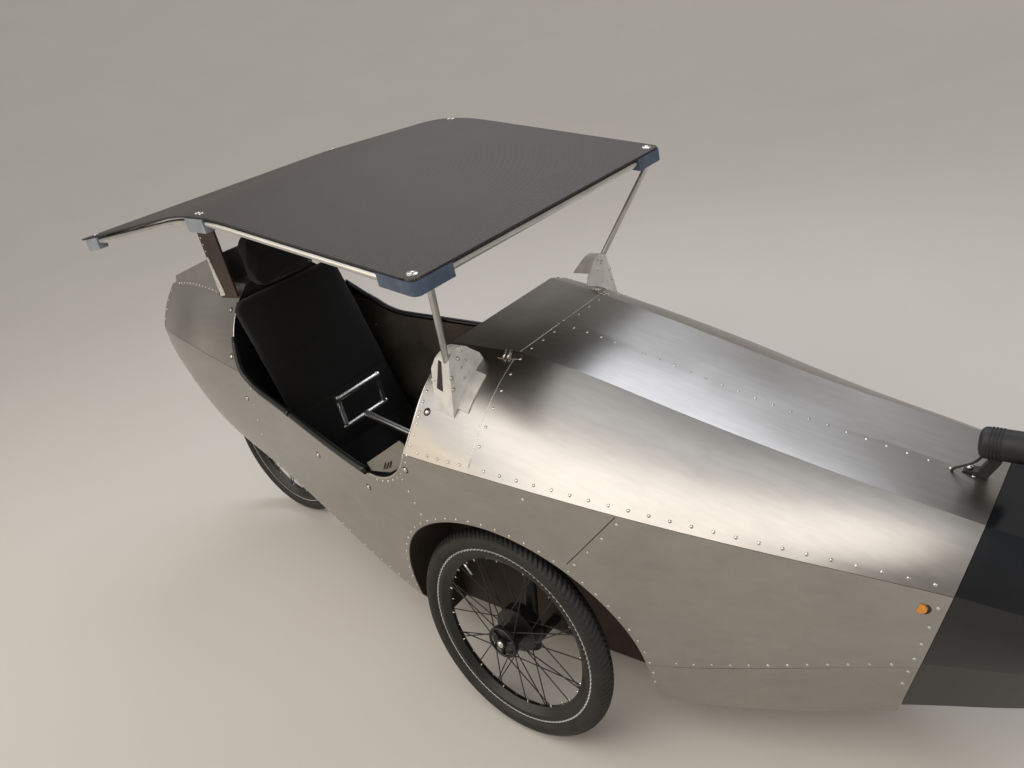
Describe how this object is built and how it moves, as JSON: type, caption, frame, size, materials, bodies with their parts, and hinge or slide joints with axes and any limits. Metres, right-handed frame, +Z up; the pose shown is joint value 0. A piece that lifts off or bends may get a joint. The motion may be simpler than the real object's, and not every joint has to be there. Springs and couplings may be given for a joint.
{
  "type": "velomobile",
  "caption": "Three-wheeled aluminium velomobile with two steered front wheels, one rear wheel, an open cockpit with tiller and seat, and a solar roof on posts.",
  "frame": {"origin": "on the floor under the middle of the vehicle's length and width", "axes": "+X forward, +Y to the rider's left, +Z up"},
  "size_m": [2.5999, 0.804, 1.1932],
  "materials": {
    "bare_aluminium": "satin, riveted sheet",
    "black_nose_plastic": "gloss",
    "rubber_trim": "matt",
    "tyre_rubber": "matt",
    "black_wheel_paint": "satin",
    "seat_fabric": "woven",
    "solar_sheet": "fine ribbed",
    "silver_tube": "satin",
    "printed_plastic": "layered",
    "white_plate": "satin",
    "brown_plate": "satin",
    "well_lining": "matt",
    "lamp_plastic": "matt",
    "amber_lens": "gloss",
    "upright_metal": "satin"
  },
  "bodies": {
    "root": {"hood_right": "bare_aluminium", "hood_left": "bare_aluminium", "cowl": "bare_aluminium", "tail_deck": "bare_aluminium", "side_front_right": "bare_aluminium", "side_front_left": "bare_aluminium", "side_mid_right": "bare_aluminium", "side_mid_left": "bare_aluminium", "side_tail_right": "bare_aluminium", "side_tail_left": "bare_aluminium", "strakes": "bare_aluminium", "floor_pan": "bare_aluminium", "nose_cone": "black_nose_plastic", "wheel_wells": "well_lining", "rear_bulkhead": "seat_fabric", "tail_end": "bare_aluminium", "cockpit_trim": "rubber_trim", "dash_panel": "lamp_plastic", "seat": "seat_fabric", "headrest": "seat_fabric", "seat_frame": "upright_metal", "tiller_post": "upright_metal", "strut_mounts": "upright_metal", "rear_fork": "upright_metal", "roof_panel": "solar_sheet", "roof_tubes": "silver_tube", "roof_corners": "printed_plastic", "roof_clamps": "printed_plastic", "roof_posts": "silver_tube", "post_brackets": "white_plate", "roof_pylons": "brown_plate", "tail_fairing": "bare_aluminium", "headlight": "lamp_plastic", "headlight_bracket": "lamp_plastic", "indicators": "amber_lens", "headlight_lead": "lamp_plastic"},
    "tiller": {"tiller": "silver_tube"},
    "knuckle_left": {"knuckle_left": "upright_metal"},
    "knuckle_right": {"knuckle_right": "upright_metal"},
    "front_wheel_left": {"wheel_front_left": "black_wheel_paint", "tyre_front_left": "tyre_rubber"},
    "front_wheel_right": {"wheel_front_right": "black_wheel_paint", "tyre_front_right": "tyre_rubber"},
    "rear_wheel": {"wheel_rear": "black_wheel_paint", "tyre_rear": "tyre_rubber"}
  },
  "joints": [
    {"name": "steer_left", "type": "hinge", "parent": "root", "child": "knuckle_left", "pos_m": [0.215, 0.26942, 0.24108], "axis": [0, -0.2079, 0.9781], "range_deg": [-18, 18]},
    {"name": "steer_right", "type": "hinge", "parent": "root", "child": "knuckle_right", "pos_m": [0.215, -0.26942, 0.24108], "axis": [0, 0.2079, 0.9781], "range_deg": [-18, 18]},
    {"name": "tiller_turn", "type": "hinge", "parent": "root", "child": "tiller", "pos_m": [-0.015, 0, 0.362], "axis": [0, 0, 1], "range_deg": [-14.4, 14.4]},
    {"name": "spin_front_left", "type": "hinge", "parent": "knuckle_left", "child": "front_wheel_left", "pos_m": [0.215, 0.335, 0.24855], "axis": [0, 0.9936, 0.1132], "continuous": true},
    {"name": "spin_front_right", "type": "hinge", "parent": "knuckle_right", "child": "front_wheel_right", "pos_m": [0.215, -0.335, 0.24855], "axis": [0, 0.9936, -0.1132], "continuous": true},
    {"name": "spin_rear", "type": "hinge", "parent": "root", "child": "rear_wheel", "pos_m": [-1.05, 0, 0.25], "axis": [0, 1, 0], "continuous": true}
  ],
  "couplings": [
    {"joint": "steer_right", "follows": "steer_left", "ratio": 1},
    {"joint": "tiller_turn", "follows": "steer_left", "ratio": 0.8}
  ]
}
